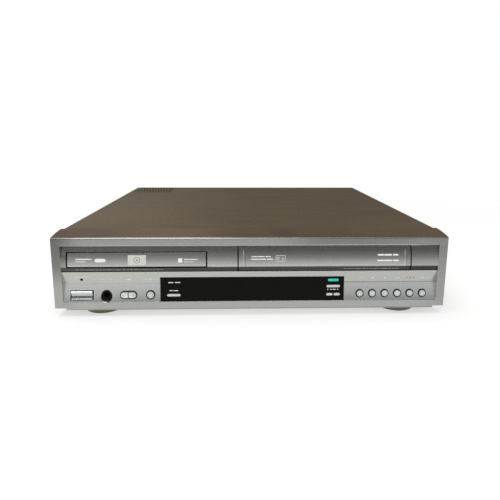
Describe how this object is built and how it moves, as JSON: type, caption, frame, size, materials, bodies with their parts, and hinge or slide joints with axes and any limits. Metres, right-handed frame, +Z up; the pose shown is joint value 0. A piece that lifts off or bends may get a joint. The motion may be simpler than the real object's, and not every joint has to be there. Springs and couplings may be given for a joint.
{
  "type": "disc player and cassette recorder",
  "caption": "Flat home disc player and video cassette recorder with a sliding disc tray, sprung cassette door, push buttons and both decks inside.",
  "frame": {"origin": "on the surface it stands on, under the middle of its whole width and depth", "axes": "+X to the viewer's right along the front, -Y out of the front, +Z up"},
  "size_m": [0.43, 0.36, 0.0925],
  "materials": {
    "cover_paint": "brown metallic paint on steel sheet, satin",
    "front_silver": "silver-painted moulded plastic, satin",
    "window_black": "smoked dark plastic, polished",
    "button_white": "pale silver plastic, satin",
    "sheet_steel": "galvanised steel sheet",
    "bright_steel": "turned and plated steel",
    "screw_black": "blackened steel",
    "foot_plastic": "moulded brown-grey plastic",
    "rubber": "plain black rubber",
    "board_green": "green glass-fibre board with parts",
    "supply_board": "tan paper board with parts",
    "socket_black": "black moulded socket body",
    "phono_nickel": "nickel-plated socket barrels",
    "tube_glass": "dark glass display tube, taken as opaque",
    "deck_plastic": "dark grey moulded plastic",
    "gear_plastic": "off-white acetal",
    "drum_alloy": "finely turned aluminium"
  },
  "bodies": {
    "case": {"bottom_chassis": "sheet_steel", "top_cover": "cover_paint", "rear_panel": "sheet_steel", "front_bezel": "front_silver", "display_window": "window_black", "standby_lamp": "window_black", "feet": "foot_plastic", "foot_pads": "rubber", "case_screws": "screw_black", "main_board": "board_green", "front_board": "board_green", "power_supply": "supply_board", "av_sockets": "socket_black", "aerial_sockets": "bright_steel", "phono_sockets": "phono_nickel", "mains_inlet": "socket_black", "phones_socket": "socket_black", "display_tube": "tube_glass", "disc_deck_frame": "deck_plastic", "clamp_bridge": "sheet_steel", "tray_motor": "bright_steel", "tray_belt": "rubber", "cassette_deck_plate": "sheet_steel", "guide_plates": "sheet_steel", "drum_base": "drum_alloy"},
    "tray": {"disc_tray": "deck_plastic", "tray_front": "front_silver"},
    "tray_gear": {"tray_gear": "gear_plastic"},
    "tray_pulley": {"tray_pulley": "gear_plastic"},
    "traverse": {"traverse_plate": "sheet_steel", "sled_rods": "bright_steel", "spindle_motor": "bright_steel"},
    "turntable": {"turntable": "deck_plastic"},
    "disc_clamp": {"disc_clamp": "deck_plastic"},
    "laser_sled": {"laser_sled": "deck_plastic"},
    "cassette_door": {"cassette_door": "front_silver"},
    "carrier_slider": {"carrier_slider": "sheet_steel"},
    "cassette_carrier": {"cassette_carrier": "sheet_steel"},
    "head_drum": {"head_drum": "drum_alloy"},
    "capstan": {"capstan": "bright_steel"},
    "supply_reel": {"supply_reel": "gear_plastic"},
    "take_up_reel": {"take_up_reel": "gear_plastic"},
    "pinch_arm": {"pinch_arm": "sheet_steel"},
    "pinch_roller": {"pinch_roller": "rubber"},
    "left_tape_guide": {"left_tape_guide": "drum_alloy"},
    "right_tape_guide": {"right_tape_guide": "drum_alloy"},
    "power_button": {"power_button": "front_silver"},
    "level_down_button": {"level_down_button": "button_white"},
    "level_up_button": {"level_up_button": "button_white"},
    "tray_button": {"tray_button": "button_white"},
    "select_button": {"select_button": "button_white"},
    "copy_button": {"copy_button": "button_white"},
    "program_down_button": {"program_down_button": "button_white"},
    "program_up_button": {"program_up_button": "button_white"},
    "transport_button_1": {"transport_button_1": "button_white"},
    "transport_button_2": {"transport_button_2": "button_white"},
    "transport_button_3": {"transport_button_3": "button_white"},
    "transport_button_4": {"transport_button_4": "button_white"},
    "transport_button_5": {"transport_button_5": "button_white"},
    "transport_button_6": {"transport_button_6": "button_white"}
  },
  "joints": [
    {"name": "power_button_press", "type": "slide", "parent": "case", "child": "power_button", "axis": [0, 1, 0], "range_m": [0, 0.0008], "stiffness_N_per_m": 500},
    {"name": "level_down_button_press", "type": "slide", "parent": "case", "child": "level_down_button", "axis": [0, 1, 0], "range_m": [0, 0.0008], "stiffness_N_per_m": 500},
    {"name": "level_up_button_press", "type": "slide", "parent": "case", "child": "level_up_button", "axis": [0, 1, 0], "range_m": [0, 0.0008], "stiffness_N_per_m": 500},
    {"name": "tray_button_press", "type": "slide", "parent": "case", "child": "tray_button", "axis": [0, 1, 0], "range_m": [0, 0.0008], "stiffness_N_per_m": 500},
    {"name": "select_button_press", "type": "slide", "parent": "case", "child": "select_button", "axis": [0, 1, 0], "range_m": [0, 0.0008], "stiffness_N_per_m": 500},
    {"name": "copy_button_press", "type": "slide", "parent": "case", "child": "copy_button", "axis": [0, 1, 0], "range_m": [0, 0.0008], "stiffness_N_per_m": 500},
    {"name": "program_down_button_press", "type": "slide", "parent": "case", "child": "program_down_button", "axis": [0, 1, 0], "range_m": [0, 0.0008], "stiffness_N_per_m": 500},
    {"name": "program_up_button_press", "type": "slide", "parent": "case", "child": "program_up_button", "axis": [0, 1, 0], "range_m": [0, 0.0008], "stiffness_N_per_m": 500},
    {"name": "transport_button_1_press", "type": "slide", "parent": "case", "child": "transport_button_1", "axis": [0, 1, 0], "range_m": [0, 0.0008], "stiffness_N_per_m": 500},
    {"name": "transport_button_2_press", "type": "slide", "parent": "case", "child": "transport_button_2", "axis": [0, 1, 0], "range_m": [0, 0.0008], "stiffness_N_per_m": 500},
    {"name": "transport_button_3_press", "type": "slide", "parent": "case", "child": "transport_button_3", "axis": [0, 1, 0], "range_m": [0, 0.0008], "stiffness_N_per_m": 500},
    {"name": "transport_button_4_press", "type": "slide", "parent": "case", "child": "transport_button_4", "axis": [0, 1, 0], "range_m": [0, 0.0008], "stiffness_N_per_m": 500},
    {"name": "transport_button_5_press", "type": "slide", "parent": "case", "child": "transport_button_5", "axis": [0, 1, 0], "range_m": [0, 0.0008], "stiffness_N_per_m": 500},
    {"name": "transport_button_6_press", "type": "slide", "parent": "case", "child": "transport_button_6", "axis": [0, 1, 0], "range_m": [0, 0.0008], "stiffness_N_per_m": 500},
    {"name": "tray_slide", "type": "slide", "parent": "case", "child": "tray", "axis": [0, -1, 0], "range_m": [0, 0.135]},
    {"name": "tray_gear_spin", "type": "hinge", "parent": "case", "child": "tray_gear", "pos_m": [-0.1734, -0.146, 0.05], "axis": [0, 0, 1], "range_deg": [0, 860]},
    {"name": "tray_pulley_spin", "type": "hinge", "parent": "case", "child": "tray_pulley", "pos_m": [-0.1274, -0.146, 0.05], "axis": [0, 0, 1], "range_deg": [0, 2579]},
    {"name": "traverse_lift", "type": "hinge", "parent": "case", "child": "traverse", "pos_m": [-0.1244, 0.004, 0.05], "axis": [-1, 0, 0], "range_deg": [0, 3.5]},
    {"name": "disc_spin", "type": "hinge", "parent": "traverse", "child": "turntable", "pos_m": [-0.1244, -0.088, 0.05], "axis": [0, 0, 1], "continuous": true},
    {"name": "clamp_spin", "type": "hinge", "parent": "case", "child": "disc_clamp", "pos_m": [-0.1244, -0.088, 0.07], "axis": [0, 0, 1], "continuous": true},
    {"name": "sled_slide", "type": "slide", "parent": "traverse", "child": "laser_sled", "axis": [0, 1, 0], "range_m": [0, 0.032]},
    {"name": "door_hinge", "type": "hinge", "parent": "case", "child": "cassette_door", "pos_m": [0.08, -0.172, 0.0805], "axis": [1, 0, 0], "range_deg": [0, 105], "stiffness_Nm_per_rad": 0.004, "springref_deg": -25.78},
    {"name": "carrier_in", "type": "slide", "parent": "case", "child": "carrier_slider", "axis": [0, 1, 0], "range_m": [0, 0.05]},
    {"name": "carrier_down", "type": "slide", "parent": "carrier_slider", "child": "cassette_carrier", "axis": [0, 0, -1], "range_m": [0, 0.0207]},
    {"name": "drum_spin", "type": "hinge", "parent": "case", "child": "head_drum", "pos_m": [0.08, 0.029, 0.03], "axis": [0, 0.0958, 0.9954], "continuous": true},
    {"name": "capstan_spin", "type": "hinge", "parent": "case", "child": "capstan", "pos_m": [0.14, 0.004, 0.03], "axis": [0, 0, 1], "continuous": true},
    {"name": "supply_spin", "type": "hinge", "parent": "case", "child": "supply_reel", "pos_m": [0.0338, -0.064, 0.03], "axis": [0, 0, 1], "continuous": true},
    {"name": "take_up_spin", "type": "hinge", "parent": "case", "child": "take_up_reel", "pos_m": [0.1262, -0.064, 0.03], "axis": [0, 0, 1], "continuous": true},
    {"name": "pinch_swing", "type": "hinge", "parent": "case", "child": "pinch_arm", "pos_m": [0.158, 0.032, 0.03], "axis": [0, 0, -1], "range_deg": [0, 22]},
    {"name": "pinch_roller_spin", "type": "hinge", "parent": "pinch_arm", "child": "pinch_roller", "pos_m": [0.1595, 0.004, 0.03], "axis": [0, 0, 1], "continuous": true},
    {"name": "left_guide_slide", "type": "slide", "parent": "case", "child": "left_tape_guide", "axis": [-0.2249, 0.9744, 0], "range_m": [0, 0.0534]},
    {"name": "right_guide_slide", "type": "slide", "parent": "case", "child": "right_tape_guide", "axis": [0.2249, 0.9744, 0], "range_m": [0, 0.0535]}
  ],
  "couplings": [
    {"joint": "tray_gear_spin", "follows": "tray_slide", "rad_per_m": 111.11},
    {"joint": "tray_pulley_spin", "follows": "tray_slide", "rad_per_m": 333.33},
    {"joint": "clamp_spin", "follows": "disc_spin", "ratio": 1},
    {"joint": "right_guide_slide", "follows": "left_guide_slide", "ratio": 1}
  ]
}
